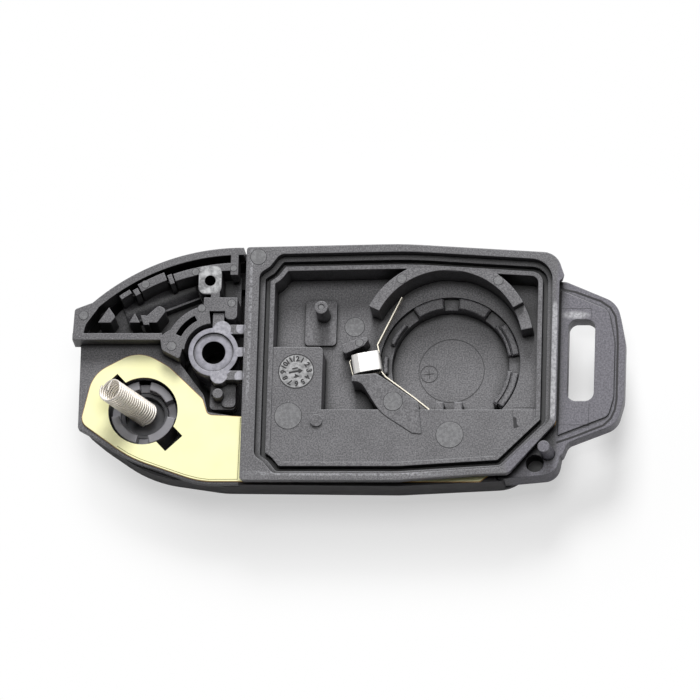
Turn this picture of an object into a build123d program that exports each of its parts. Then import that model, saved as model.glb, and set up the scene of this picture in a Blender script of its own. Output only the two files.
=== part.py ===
from build123d import *
from math import atan2, cos, degrees, hypot, radians, sin
import os

# Back half of a flip key's remote shell, opened and lying on its outer face.
# The frame: origin on the resting plane under the axis of the coin cell's guard wall,
# +X along the length towards the keyring loop, +Y towards the guard wall, +Z up.
# Everything is in millimetres.

# Heights
rim_z = 11.0
ledge_drop = 1.4
inner_wall_drop = 1.3
platform_drop = 1.4
channel_depth = 1.2
deck_drop = 2.4
floor_z = 5.0
floor_thickness = 1.0
recess_depth = 2.6
smallest_round = 0.25

# Battery tray: rim and seal channel
tray_west = -27.0
tray_east = 15.1
tray_north = 12.95
tray_south = -19.55
rim_crown = 0.45
rim_width = 0.95
west_rim_width = 1.8
seal_ledge = 0.7
seal_channel = 0.7
inner_wall = 0.6
body_inset = 0.3
outline_taper = 9.0

# Coin cell pocket
cell_radius = 10.0
cell_clearance = 0.13
guard_thickness = 1.5
guard_drop = 1.25
guard_step = 1.2
guard_start = 12.0
guard_step_angle = 29.0
guard_end = 154.0
ring_x = 0.15
ring_y = -1.7
ring_radius = 9.45
ring_width = 1.55
ring_gap = 0.15
ring_step_height = 1.7
tooth_drop = 0.15
rib_width = 0.5
key_height = 2.55
key_width = 1.1

# Platform beside the pocket, post and pad
platform_east = -16.5
platform_north = -0.6
platform_edge = -9.3
platform_wall = 1.2
fan_rise = 0.1
post_x = -16.9
post_y = 4.9
post_radius = 0.88
post_height = 4.3
post_bore = 0.44
post_bore_depth = 0.6
pad_length = 6.3
pad_width = 4.2
pad_height = 0.5

# Keyring loop and pin lug
loop_thickness = 2.4
loop_east = 23.9
loop_root_north = 8.8
loop_root_south = -11.4
loop_ledge = 1.4
slot_west = 16.25
slot_width = 3.6
slot_length = 11.35
slot_y = -2.2
lug_thickness = 3.4
lug_west = 8.9
lug_pin_radius = 0.9
lug_pin_height = 3.4
lug_hole_radius = 1.2
lug_hole_depth = 2.6

# Ring boss between the tray and the key bay
boss_x = -31.1
boss_y = -1.6
boss_radius = 3.36
boss_bore = 1.57
boss_step_radius = 2.71
boss_step = 0.35
boss_drop = 0.4
boss_length = 5.6
lobe_radius = 1.13
strut_width = 1.3
strut_bite = 0.7
neck_width = 1.5
foot_x = -29.9
foot_y = -7.0
foot_length = 3.5
foot_width = 3.8
foot_corner = 0.6
foot_step = 0.1
foot_drop = 2.9
foot_thickness = 1.0
foot_pad_length = 1.85
foot_pad_height = 0.5
bay_pin_radius = 0.68
bay_pin_height = 2.1

# Key bay frame
deck_thickness = 1.0
bay_floor_drop = 4.7
bay_floor_thickness = 0.9
bay_west = -49.2
bay_gap = 0.4
arc_wall = 1.0
end_web_inset = 1.2
end_web_width = 1.0
end_web_length = 3.3
bar_south = 0.0
bar_width = 0.9
bar_east = -38.05
bar_web_west = -47.2
bracket_gap = 0.55
bracket_width = 2.6
bracket_slot = 0.8
bracket_start = 97.0
bracket_end = 176.0
bracket_slot_end = 21.0
small_boss_x = -31.8
small_boss_y = 8.25
small_boss_bore = 0.72
trough_radius = 1.7
trough_wall = 0.25
trough_rise = 0.1
tab_west = -50.1

# Sheets between the halves
gasket_thickness = 0.15
liner_thickness = 0.10
sheet_gap = 0.3
liner_inset = 0.08

# Back cover
cover_wall = 0.9
cover_floor = 1.2
cover_round = 3.2
cover_bevel = 0.9
cover_hollow = 2.4
cover_corner = 5.0
cover_gap = 0.15
loop_gap = 0.2

# Flip collar, release button and spring
pivot_x = -40.5
pivot_y = -9.3
hub_gap = 0.32
keyway_width = 3.1
keyway_reach = 6.25
keyway_shift = 0.6
keyway_angle = -46.5
collar_radius = 4.35
collar_width = 1.1
collar_base_height = 5.25
collar_height = 6.85
collar_run = 0.05
seat_wall = 0.9
seat_height = 2.2
button_slip = 0.05
button_wall = 0.55
button_floor = 3.65
button_height = 5.2
rest_gap = 0.05
spring_radius = 1.65
spring_wire = 0.36
spring_length = 9.2
spring_lean_x = -4.4
spring_lean_y = 1.3
spring_lean_z = 8.0

# Battery contact
contact_thickness = 0.25
contact_length = 3.8
contact_width = 2.65
contact_height = 3.4
contact_x = -10.8
contact_y = -2.25
contact_turn = 9.8
contact_slip = 0.1
arm_height = 1.0
arm_level = 1.6
arm_north_tip = (-6.3, 7.0)
arm_south_bend = (-4.05, -7.2)
arm_south_tip = (-2.2, -8.7)

# Levels and radii that follow from the sizes above
ledge_z = rim_z - ledge_drop
inner_wall_z = rim_z - inner_wall_drop
platform_z = rim_z - platform_drop
channel_z = ledge_z - channel_depth
deck_z = rim_z - deck_drop
deck_under_z = deck_z - deck_thickness
flange_z = deck_z + gasket_thickness + liner_thickness
recess_z = floor_z - recess_depth
boss_z = rim_z - boss_drop
foot_z = rim_z - foot_drop
guard_z = rim_z - guard_drop
bay_floor_z = rim_z - bay_floor_drop
guard_inner = cell_radius + cell_clearance
guard_outer = guard_inner + guard_thickness
ring_inner = ring_radius - ring_width
ring_outer = ring_radius - ring_gap
collar_inner = collar_radius - collar_width
seat_inner = collar_radius + collar_run
hub_hole = collar_radius + hub_gap
button_radius = collar_inner - button_slip
wall_inset = seal_ledge + seal_channel
basin_inset = wall_inset + inner_wall
body_floor_z = floor_z - floor_thickness


def outline(corners, inset=0.0):
    # A closed outline through corners (x, y, radius), with its sides moved inwards.
    count = len(corners)
    turning = sum(
        corners[i - 1][0] * corners[i][1] - corners[i][0] * corners[i - 1][1] for i in range(count)
    )
    side = 1 if turning > 0 else -1
    points = []
    radii = []
    for i, (x, y, radius) in enumerate(corners):
        before = Vector(x - corners[i - 1][0], y - corners[i - 1][1]).normalized()
        after = Vector(corners[(i + 1) % count][0] - x, corners[(i + 1) % count][1] - y).normalized()
        shift = (before + after).rotate(Axis.Z, 90 * side) * (inset / (1 + before.dot(after)))
        convex = side * (before.X * after.Y - before.Y * after.X) > 0
        points.append((x + shift.X, y + shift.Y))
        rounded = radius - inset if convex else radius + inset
        radii.append(rounded if rounded > smallest_round else 0.0)
    with BuildSketch() as face:
        with BuildLine():
            FilletPolyline(*points, radius=radii, close=True)
        make_face()
    return face.sketch


def sector(inner, outer, start, end, x=0.0, y=0.0):
    # A piece of a flat ring between two radii and two angles in degrees.
    def at(radius, angle):
        return (x + radius * cos(radians(angle)), y + radius * sin(radians(angle)))

    middle = (start + end) / 2
    with BuildSketch() as piece:
        with BuildLine():
            ThreePointArc(at(outer, start), at(outer, middle), at(outer, end))
            Line(at(outer, end), at(inner, end))
            ThreePointArc(at(inner, end), at(inner, middle), at(inner, start))
            Line(at(inner, start), at(outer, start))
        make_face()
    return piece.sketch


# Outlines of the tray: the rim, the seal line inside it, the loop and the lug
seal_west = tray_west + west_rim_width
seal_east = tray_east - rim_width + 0.1
seal_north = tray_north - rim_width
seal_south = tray_south + rim_width
rim_corners = [
    (tray_west, tray_south, 0.4),
    (tray_west, tray_north, 0.4),
    (-6.0, tray_north + rim_crown, 60.0),
    (tray_east - 0.5, tray_north - 0.8, 2.6),
    (tray_east + 0.7, loop_root_north, 0.5),
    (tray_east, loop_root_north - 0.6, 0.2),
    (tray_east, loop_root_south, 1.2),
    (lug_west, tray_south + 1.0, 1.2),
    (5.0, tray_south + 0.85, 2.0),
    (-6.0, tray_south, 12.0),
]
seal_corners = [
    (seal_west, seal_south + 2.5, 1.3),
    (seal_west, seal_north - 2.7, 1.3),
    (seal_west + 1.4, seal_north - 1.75, 1.0),
    (seal_west + 2.7, seal_north, 1.3),
    (-5.0, seal_north + rim_crown - 0.1, 60.0),
    (seal_east - 0.1, seal_north - 0.85, 3.0),
    (seal_east, loop_root_south + 0.1, 1.7),
    (lug_west - 1.0, seal_south + 0.9, 1.7),
    (-6.0, seal_south, 12.0),
    (seal_west + 2.6, seal_south, 1.3),
    (seal_west + 1.3, seal_south + 1.6, 1.0),
]
loop_corners = [
    (seal_east - 0.6, loop_root_north, 0.3),
    (tray_east + 0.7, loop_root_north, 2.0),
    (loop_east - 1.1, 5.8, 3.2),
    (loop_east, 0.5, 6.0),
    (loop_east, -7.6, 5.0),
    (loop_east - 0.9, -11.0, 2.6),
    (tray_east + 1.4, -13.6, 1.2),
    (tray_east + 0.7, -15.4, 0.5),
    (tray_east - 1.0, -15.4, 0.3),
    (seal_east - 0.6, loop_root_south - 0.2, 0.3),
]
plate_corners = [
    (tray_east + 0.1 - loop_ledge, loop_root_north, 0.0),
    (tray_east + 0.7, loop_root_north, 2.0),
    (loop_east - 1.1, 5.8, 3.2),
    (loop_east, 0.5, 6.0),
    (loop_east, -7.6, 5.0),
    (loop_east - 0.9, -11.0, 2.6),
    (tray_east + 1.4, -13.6, 0.0),
    (tray_east + 0.1 - loop_ledge, -14.75, 0.0),
]
lug_corners = [
    (lug_west - 1.6, tray_south + 0.85, 0.2),
    (tray_east, tray_south + 1.6, 2.2),
    (tray_east + 0.6, -14.3, 0.6),
    (seal_east - 0.6, loop_root_south - 0.2, 0.3),
    (lug_west - 1.6, tray_south + 2.6, 0.2),
]
platform_corners = [
    (seal_west + wall_inset, platform_north, 0.2),
    (platform_east, platform_north, 0.6),
    (platform_east, platform_edge, 0.2),
    (seal_east - wall_inset, platform_edge, 0.2),
    (seal_east - wall_inset, seal_south, 0.2),
    (seal_west + wall_inset, seal_south, 0.2),
]
fan_corners = [
    (-12.5, -4.55, 0.3),
    (-9.2, -4.3, 0.6),
    (-3.5, -8.3, 0.3),
    (-3.0, -12.7, 0.2),
    (-4.2, -12.6, 0.5),
    (-8.6, -9.7, 6.0),
    (-11.3, -5.4, 1.5),
    (-12.5, -5.4, 0.2),
]
clamp_corners = [
    (-14.2, 0.2, 0.2),
    (-12.0, 1.1, 0.6),
    (-10.3, 1.35, 0.3),
    (-11.2, 0.1, 0.6),
    (-13.8, -1.1, 0.3),
]

# Outline of the back cover, which also bounds the body of the tray
bay_east = tray_west - bay_gap
bay_north = tray_north - 0.07
cover_corners = [
    (bay_west - 0.1, pivot_y - 1.4, cover_corner),
    (bay_west - 0.1, 3.2, cover_corner),
    (-45.0, 7.2, 12.0),
    (-38.2, 10.9, 20.0),
    (bay_east - 4.0, bay_north - 0.3, 20.0),
    (-6.0, tray_north + rim_crown - 0.1, 60.0),
    (tray_east - 0.3, tray_north - 0.8, cover_corner),
    (tray_east - 0.05, loop_root_south - 0.9, cover_corner),
    (lug_west + 0.4, tray_south + 0.7, cover_corner),
    (-6.0, tray_south - 0.1, 12.0),
    (pivot_x + 11.0, tray_south + 0.1, 12.0),
    (pivot_x + 1.0, tray_south + 1.6, 16.0),
    (pivot_x - 5.2, tray_south + 5.9, 16.0),
]

# Battery tray: rim, seal channel, basin, coin cell pocket, platform, loop and lug
with BuildPart() as battery_tray:
    with BuildSketch(Plane.XY.offset(rim_z)):
        add(outline(rim_corners))
    extrude(amount=-(rim_z - flange_z), taper=outline_taper)
    with BuildSketch(Plane.XY.offset(body_floor_z)):
        add(outline(seal_corners, body_inset))
        add(outline(cover_corners, cover_wall + cover_gap), mode=Mode.INTERSECT)
    extrude(amount=flange_z - body_floor_z)
    with BuildSketch(Plane.XY.offset(recess_z - floor_thickness)):
        with Locations((ring_x, ring_y)):
            Circle(ring_radius + floor_thickness)
    extrude(amount=recess_depth)
    with BuildSketch(Plane.XY.offset(deck_z)):
        add(outline(loop_corners))
    extrude(amount=-loop_thickness)
    with BuildSketch(Plane.XY.offset(deck_z)):
        add(outline(plate_corners, loop_ledge))
    extrude(amount=flange_z - deck_z)
    with BuildSketch(Plane.XY.offset(deck_z)):
        add(outline(lug_corners))
    extrude(amount=-lug_thickness)

    # Seal line, from the rim inwards: ledge, channel, inner wall
    with BuildSketch(Plane.XY.offset(ledge_z)):
        add(outline(seal_corners))
    extrude(amount=ledge_drop, mode=Mode.SUBTRACT)
    with BuildSketch(Plane.XY.offset(channel_z)):
        add(outline(seal_corners, seal_ledge))
        add(outline(seal_corners, wall_inset), mode=Mode.SUBTRACT)
    extrude(amount=channel_depth, mode=Mode.SUBTRACT)
    with BuildSketch(Plane.XY.offset(ledge_z)):
        add(outline(seal_corners, wall_inset))
    extrude(amount=ledge_drop - inner_wall_drop)
    with BuildSketch(Plane.XY.offset(floor_z)):
        add(outline(seal_corners, basin_inset))
    extrude(amount=inner_wall_z - floor_z, mode=Mode.SUBTRACT)

    # Recess under the coin cell, platform beside it, guard wall around it
    with BuildSketch(Plane.XY.offset(recess_z)):
        with Locations((ring_x, ring_y)):
            Circle(ring_radius)
    extrude(amount=recess_depth, mode=Mode.SUBTRACT)
    with BuildSketch(Plane.XY.offset(floor_z)):
        add(outline(platform_corners))
        add(outline(seal_corners, wall_inset), mode=Mode.INTERSECT)
    extrude(amount=platform_z - floor_z)
    with BuildSketch(Plane.XY.offset(recess_z)):
        add(outline(platform_corners))
        with Locations((ring_x, ring_y)):
            Circle(ring_radius, mode=Mode.INTERSECT)
    extrude(amount=recess_depth)
    with BuildSketch(Plane.XY.offset(body_floor_z)):
        add(outline(platform_corners, platform_wall))
        add(outline(seal_corners, basin_inset), mode=Mode.INTERSECT)
        with Locations((ring_x, ring_y)):
            Circle(ring_radius + floor_thickness, mode=Mode.SUBTRACT)
    extrude(amount=platform_z - platform_wall - body_floor_z, mode=Mode.SUBTRACT)
    for wall_top, wall_start in ((guard_z - guard_step, guard_start), (guard_z, guard_step_angle)):
        with BuildSketch(Plane.XY.offset(floor_z)):
            add(sector(guard_inner, guard_outer, wall_start, guard_end))
            add(outline(seal_corners, wall_inset), mode=Mode.INTERSECT)
        extrude(amount=wall_top - floor_z)

    # Ring of teeth on a step in the recess: two wide teeth, a double one, ribs and two keys
    ring_teeth = [
        (ring_inner, ring_outer, 97.0, 123.0),
        (ring_inner, ring_outer, 55.5, 83.5),
        (ring_inner + rib_width, ring_outer, 9.0, 39.0),
        (ring_inner + tooth_drop, ring_inner + tooth_drop + rib_width, 136.5, 160.0),
        (ring_inner + rib_width, ring_inner + 2 * rib_width, 172.0, 188.0),
    ]
    with BuildSketch(Plane.XY.offset(recess_z)):
        add(sector(ring_inner, ring_radius, -40.0, 205.0, ring_x, ring_y))
    extrude(amount=ring_step_height)
    with BuildSketch(Plane.XY.offset(recess_z)):
        for inner, outer, start, end in ring_teeth:
            add(sector(inner, outer, start, end, ring_x, ring_y))
    extrude(amount=recess_depth - tooth_drop)
    with BuildSketch(Plane.XY.offset(recess_z)):
        add(sector(ring_inner, ring_inner + rib_width, 10.0, 42.0, ring_x, ring_y))
        add(sector(ring_inner - tooth_drop, ring_inner + rib_width, -41.0, -5.5, ring_x, ring_y))
    extrude(amount=recess_depth - 2 * tooth_drop)
    with BuildSketch(Plane.XY.offset(recess_z)):
        with Locations((-1.15, platform_edge + key_height / 2), (1.35, platform_edge + key_height / 2)):
            Rectangle(key_width, key_height)
    extrude(amount=recess_depth - 2 * tooth_drop)

    # Post on its pad, and the blocks and the post that hold the contact
    with BuildSketch(Plane.XY.offset(floor_z)):
        with Locations((post_x - 0.4, post_y - 0.9)):
            RectangleRounded(pad_width, pad_length, 0.55)
    extrude(amount=pad_height)
    with BuildSketch(Plane.XY.offset(floor_z + pad_height)):
        with Locations((post_x, post_y)):
            Circle(post_radius)
    extrude(amount=post_height)
    with Locations((post_x, post_y, floor_z + pad_height + post_height)):
        Hole(post_bore, post_bore_depth)
    with BuildSketch(Plane.XY.offset(body_floor_z)):
        add(outline(fan_corners))
    extrude(amount=platform_z + fan_rise - body_floor_z)
    with BuildSketch(Plane.XY.offset(recess_z)):
        add(outline(fan_corners))
        with Locations((ring_x, ring_y)):
            Circle(ring_radius, mode=Mode.INTERSECT)
    extrude(amount=recess_depth)
    with BuildSketch(Plane.XY.offset(floor_z)):
        add(outline(clamp_corners))
    extrude(amount=contact_height - 0.4)
    with BuildSketch(Plane.XY.offset(floor_z)):
        with Locations(Location((contact_x, contact_y, 0), contact_turn)):
            Rectangle(contact_length - 2 * (contact_thickness + contact_slip), contact_width)
    extrude(amount=contact_height - contact_thickness - contact_slip)

    # Ring boss with its lobes, necks and struts, and the foot plate with its pin
    with BuildSketch(Plane.XY.offset(boss_z)):
        with Locations((boss_x, boss_y)):
            Circle(boss_radius)
        with Locations((boss_x + 1.1, boss_y + 3.2), (boss_x + 0.8, boss_y - 3.3)):
            Circle(lobe_radius)
    extrude(amount=-boss_length)
    strut_start = boss_x + lobe_radius
    strut_length = tray_west + strut_bite - strut_start
    with BuildSketch(Plane.XY.offset(boss_z)):
        for y in (3.15, 0.0, -3.25):
            with Locations((strut_start + strut_length / 2, boss_y + y)):
                Rectangle(strut_length, strut_width)
        with Locations((boss_x + 0.55, boss_y + 4.3)):
            Rectangle(neck_width, 2.2)
    extrude(amount=-(boss_z - flange_z))
    with BuildSketch(Plane.XY.offset(foot_z - foot_thickness)):
        with Locations((foot_x, foot_y)):
            RectangleRounded(foot_length, foot_width, foot_corner)
    extrude(amount=foot_thickness)
    with BuildSketch(Plane.XY.offset(foot_z - foot_thickness)):
        with Locations((foot_x + (foot_length - foot_pad_length) / 2, foot_y + foot_step)):
            RectangleRounded(foot_pad_length, foot_width - 2 * foot_step, foot_corner)
        with Locations((boss_x + 0.4, boss_y - 4.2)):
            Rectangle(neck_width, 2.4)
    extrude(amount=foot_thickness + foot_pad_height)
    with BuildSketch(Plane.XY.offset(foot_z)):
        with Locations((boss_x + 0.7, boss_y - 5.65)):
            Circle(bay_pin_radius)
    extrude(amount=bay_pin_height)
    with Locations((boss_x, boss_y, boss_z)):
        CounterBoreHole(boss_bore, boss_step_radius, boss_step, boss_length)

    # Slot of the keyring loop, hole and leaning pin of the lug
    with BuildSketch(Plane.XY.offset(deck_z - loop_thickness)):
        with Locations((slot_west + slot_width / 2, slot_y)):
            RectangleRounded(slot_width, slot_length, slot_width / 2 - 0.6)
    extrude(amount=flange_z - deck_z + loop_thickness, mode=Mode.SUBTRACT)

    with BuildSketch(Plane.XY.offset(deck_z)):
        with Locations((lug_west + 3.3, tray_south + 3.05)):
            Circle(lug_hole_radius)
    extrude(amount=-lug_hole_depth, mode=Mode.SUBTRACT)
    with BuildSketch(Plane.XY.offset(deck_z - 0.3)):
        with Locations((lug_west + 5.1, tray_south + 4.35)):
            Circle(lug_pin_radius)
    with BuildSketch(Plane.XY.offset(deck_z + lug_pin_height)):
        with Locations((lug_west + 4.7, tray_south + 4.45)):
            Circle(lug_pin_radius - 0.1)
    loft()
battery_tray.part.label = "battery_tray"

# Outlines of the bay: the arc wall's circle, the sheets, the deck and the ribs
arc_tip = (-47.6, 5.1)
arc_line = ThreePointArc((bay_east, bay_north), (-38.8, 10.67), arc_tip)
arc_center = arc_line.arc_center
arc_start = degrees(atan2(bay_north - arc_center.Y, bay_east - arc_center.X))
arc_end = degrees(atan2(arc_tip[1] - arc_center.Y, arc_tip[0] - arc_center.X))
rim_foot_inset = (rim_z - flange_z) * sin(radians(outline_taper))
sheet_south = tray_south + rim_foot_inset + 0.1
sheet_east = tray_west + 4 * sheet_gap
sheet_corners = [
    (pivot_x - 8.4, pivot_y - 1.6, 1.6),
    (pivot_x - 6.9, pivot_y + 5.2, 4.5),
    (pivot_x - 0.8, pivot_y + 8.55, 4.5),
    (pivot_x + 3.3, pivot_y + 6.2, 4.0),
    (pivot_x + 8.0, pivot_y + 1.7, 1.0),
    (pivot_x + 8.7, pivot_y - 0.5, 0.8),
    (sheet_east, pivot_y - 0.8, 0.3),
    (sheet_east, sheet_south, 0.2),
    (pivot_x + 7.8, sheet_south, 12.0),
    (pivot_x - 1.6, sheet_south + 3.3, 16.0),
]
deck_corners = [
    (bay_west, bar_south + bar_width / 2, 0.2),
    (bay_west, pivot_y - 2.4, 0.4),
    (pivot_x - 6.7, pivot_y - 3.5, 1.5),
    (pivot_x - 1.8, sheet_south + 3.0, 20.0),
    (pivot_x + 7.8, sheet_south - 0.3, 12.0),
    (bay_east, sheet_south - 0.3, 0.2),
    (bay_east, pivot_y - 0.8, 0.2),
    (-31.85, pivot_y - 0.1, 0.4),
    (-32.45, -7.0, 1.0),
    (-35.1, -3.5, 1.0),
    (-36.6, -1.5, 0.4),
    (-38.0, bar_south + bar_width / 2, 0.2),
]
ring_sheet_corners = [
    (tray_west + sheet_gap, sheet_south, 0.2),
    (tray_west + sheet_gap, tray_north - 2 * sheet_gap, 0.4),
    (-6.0, tray_north + rim_crown - 2 * sheet_gap, 60.0),
    (tray_east - 0.8, tray_north - 1.5, 2.6),
    (tray_east - 0.2, loop_root_south + 0.2, 1.0),
    (lug_west - 1.6, tray_south + 2.2, 1.0),
    (4.9, sheet_south, 0.7),
]
sheet_opening_corners = [
    (seal_west, seal_south, 0.0),
    (seal_west, seal_north, 0.0),
    (-5.0, seal_north + rim_crown - 0.1, 60.0),
    (seal_east - 0.1, seal_north - 0.85, 2.0),
    (seal_east, loop_root_south + 0.1, 1.7),
    (lug_west - 1.0, seal_south + 0.9, 1.7),
    (-6.0, seal_south, 12.0),
]
tab_corners = [
    (tab_west, bar_south, 0.2),
    (-49.9, 4.25, 0.5),
    (-47.45, 5.2, 0.4),
    (-46.75, 4.45, 0.2),
    (-48.4, 2.1, 2.0),
    (-48.8, bar_south, 0.2),
]
lug_c_corners = [
    (-38.3, bar_south + bar_width / 2, 0.3),
    (-38.0, -1.4, 0.5),
    (-35.6, -2.7, 0.3),
    (-35.2, -0.9, 0.2),
    (-37.0, 1.4, 0.3),
]
arc_ribs = [
    (2.0, 19.9, 2.1, 1.05),
    (20.3, 21.6, 2.0, 1.35),
    (22.1, 30.0, 1.45, 1.15),
    (30.5, 32.0, 1.85, 0.9),
    (32.6, 35.9, 1.5, 0.6),
]
bay_webs = [
    (small_boss_x, small_boss_y, 3.1, 3.8, 1.0),
    (-31.05, 6.0, 1.15, 2.0, 0.1),
    (-30.3, 4.95, 4.5, 1.9, 0.1),
    (-28.85, 4.35, 1.6, 3.0, 0.6),
]
lower_ribs = [
    [(-46.7, 2.4, 0.0), (-45.3, 4.5, 0.2), (-44.4, 3.2, 0.3), (-45.0, 2.4, 0.0)],
    [(-42.5, 2.4, 0.0), (-41.8, 3.7, 0.2), (-41.1, 2.4, 0.0)],
    [(-41.0, 3.4, 0.0), (-40.25, 3.4, 0.0), (-39.8, 2.1, 0.0), (-40.55, 2.1, 0.0)],
    [(-40.2, 3.3, 0.2), (-38.6, 4.8, 0.6), (-37.5, 4.2, 0.5), (-38.8, 2.4, 0.3), (-39.9, 2.4, 0.0)],
]
bay_floor_corners = [
    (bay_east - 0.7, 10.3, 0.3),
    (bay_east - 0.7, 4.0, 0.3),
    (-33.2, 4.0, 0.3),
    (-37.2, 1.5, 0.5),
    (-37.6, bar_south, 0.3),
    (-47.4, bar_south, 0.3),
    (-46.7, 2.5, 0.5),
    (-43.8, 6.1, 6.0),
    (-36.9, 9.8, 6.0),
]
trough_start = Vector(-43.5, 4.7)
trough_end = Vector(-34.1, 8.4)
trough_angle = degrees(atan2(trough_end.Y - trough_start.Y, trough_end.X - trough_start.X))
trough_length = (trough_end - trough_start).length
trough_middle = (trough_start + trough_end) / 2
trough_z = bay_floor_z + trough_radius + trough_rise


def on_arc(inner, outer, start, end):
    # A band of the arc wall's circle, between two distances inside it.
    return sector(arc_line.radius - inner, arc_line.radius - outer, start, end, arc_center.X, arc_center.Y)


def hub_opening():
    # The round hole over the collar with its two keyways.
    with BuildSketch() as opening:
        with Locations((pivot_x, pivot_y)):
            Circle(hub_hole)
        with Locations(Location((pivot_x, pivot_y, 0), keyway_angle)):
            with Locations((keyway_reach / 2, 0), (-keyway_reach / 2, -keyway_shift)):
                Rectangle(keyway_reach, keyway_width)
    return opening.sketch


# Key bay frame: arc wall and slot, ribs and trough, bar, curved bracket, lugs and the deck
with BuildPart() as key_bay_frame:
    with BuildSketch(Plane.XY.offset(deck_under_z)):
        add(on_arc(0.0, arc_wall, arc_start, arc_end))
        add(outline(tab_corners))
        with Locations((bay_east - end_web_inset, bay_north - (arc_wall + end_web_length) / 2)):
            Rectangle(end_web_width, end_web_length)
        with Locations(((tab_west + bar_east) / 2, bar_south + bar_width / 2)):
            Rectangle(bar_east - tab_west, bar_width)
    extrude(amount=rim_z - deck_under_z)
    with BuildSketch(Plane.XY.offset(bay_floor_z - bay_floor_thickness)):
        add(outline(bay_floor_corners))
    extrude(amount=bay_floor_thickness)
    with BuildSketch(Plane.XY.offset(bay_floor_z - bay_floor_thickness)):
        with Locations(Location((trough_middle.X, trough_middle.Y, 0), trough_angle)):
            Rectangle(trough_length, 2 * (trough_radius + trough_wall))
    extrude(amount=trough_z - bay_floor_z + bay_floor_thickness)
    with Locations(Location((trough_middle.X, trough_middle.Y, trough_z), (0, 0, trough_angle))):
        Cylinder(
            trough_radius,
            trough_length + trough_radius,
            rotation=(0, 90, 0),
            mode=Mode.SUBTRACT,
        )
    with BuildSketch(Plane.XY.offset(bay_floor_z - bay_floor_thickness)):
        with Locations(((bar_web_west + bar_east) / 2, bar_south + bar_width / 2)):
            Rectangle(bar_east - bar_web_west, bar_width)
        for start, end, inset, thickness in arc_ribs:
            add(on_arc(inset, inset + thickness, arc_start + start, arc_start + end))
        for corners in lower_ribs:
            add(outline(corners))
        inner = boss_radius + bracket_gap
        outer = inner + bracket_width
        slot_inner = (inner + outer - bracket_slot) / 2
        slot_start = bracket_start + bracket_slot_end
        slot_end = bracket_end - bracket_slot_end
        add(sector(inner, outer, bracket_start, bracket_end, boss_x, boss_y))
        add(
            sector(slot_inner, slot_inner + bracket_slot, slot_start, slot_end, boss_x, boss_y),
            mode=Mode.SUBTRACT,
        )
        add(outline(lug_c_corners))
        for x, y, length, width, radius in bay_webs:
            with Locations((x, y)):
                RectangleRounded(length, width, radius)
    extrude(amount=rim_z - bay_floor_z + bay_floor_thickness)
    with BuildSketch(Plane.XY.offset(deck_under_z)):
        add(outline(deck_corners))
        add(hub_opening(), mode=Mode.SUBTRACT)
    extrude(amount=deck_thickness)
    with Locations((small_boss_x, small_boss_y, rim_z)):
        Hole(small_boss_bore, rim_z - bay_floor_z)
key_bay_frame.part.label = "key_bay_frame"


def sheet(thickness, level, inset):
    # One layer of the sheet: a ring under the rim and a flap over the deck.
    with BuildPart() as layer:
        with BuildSketch(Plane.XY.offset(level)):
            add(outline(ring_sheet_corners, inset))
            add(outline(sheet_opening_corners), mode=Mode.SUBTRACT)
            add(outline(sheet_corners, inset))
            add(hub_opening(), mode=Mode.SUBTRACT)
        extrude(amount=thickness)
    return layer


# Adhesive gasket, and the release liner on it
adhesive_gasket = sheet(gasket_thickness, deck_z, 0.0)
adhesive_gasket.part.label = "adhesive_gasket"
release_liner = sheet(liner_thickness, deck_z + gasket_thickness, liner_inset)
release_liner.part.label = "release_liner"

# Back cover: smooth dish under the tray and the bay, with the collar's seat
with BuildPart() as back_cover:
    with BuildSketch():
        add(outline(cover_corners))
    extrude(amount=deck_z)
    chamfer(back_cover.faces().sort_by(Axis.Z)[0].edges(), length=cover_round)
    slope_ends = back_cover.edges().filter_by_position(Axis.Z, cover_round, cover_round)
    chamfer(back_cover.faces().sort_by(Axis.Z)[0].edges() + slope_ends, length=cover_bevel)
    with BuildSketch(Plane.XY.offset(cover_wall + cover_hollow)):
        add(outline(cover_corners, cover_wall))
    extrude(amount=deck_z - cover_wall - cover_hollow, mode=Mode.SUBTRACT)
    with BuildSketch(Plane.XY.offset(cover_wall)):
        add(outline(cover_corners, cover_wall + cover_hollow))
    extrude(amount=cover_hollow, mode=Mode.SUBTRACT)
    with BuildSketch(Plane.XY.offset(deck_z)):
        with Locations((bay_east - 20.0, 0.0)):
            Rectangle(40.0, 60.0)
    extrude(amount=-deck_thickness, mode=Mode.SUBTRACT)
    with BuildSketch(Plane.XY.offset(deck_z)):
        add(outline(loop_corners, -loop_gap))
        add(outline(lug_corners, -loop_gap))
    extrude(amount=-lug_thickness - loop_gap, mode=Mode.SUBTRACT)
    with BuildSketch(Plane.XY.offset(cover_wall)):
        with Locations((pivot_x, pivot_y)):
            Circle(seat_inner + seat_wall)
    extrude(amount=cover_floor - cover_wall + seat_height)
    with BuildSketch(Plane.XY.offset(cover_floor)):
        with Locations((pivot_x, pivot_y)):
            Circle(seat_inner)
    extrude(amount=seat_height, mode=Mode.SUBTRACT)
back_cover.part.label = "back_cover"

# Flip collar: turns in the cover's seat, with teeth around its mouth
hub_teeth = [(25.0, 78.0), (100.0, 128.0), (188.0, 258.0), (282.0, 350.0)]
with BuildPart() as flip_collar:
    with BuildSketch(Plane.XY.offset(cover_floor + rest_gap)):
        with Locations((pivot_x, pivot_y)):
            Circle(collar_radius)
            Circle(collar_inner, mode=Mode.SUBTRACT)
    extrude(amount=collar_base_height)
    with BuildSketch(Plane.XY.offset(cover_floor + rest_gap + collar_base_height)):
        for start, end in hub_teeth:
            add(sector(collar_inner, collar_radius, start, end, pivot_x, pivot_y))
    extrude(amount=collar_height - collar_base_height)
flip_collar.part.label = "flip_collar"

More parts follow.
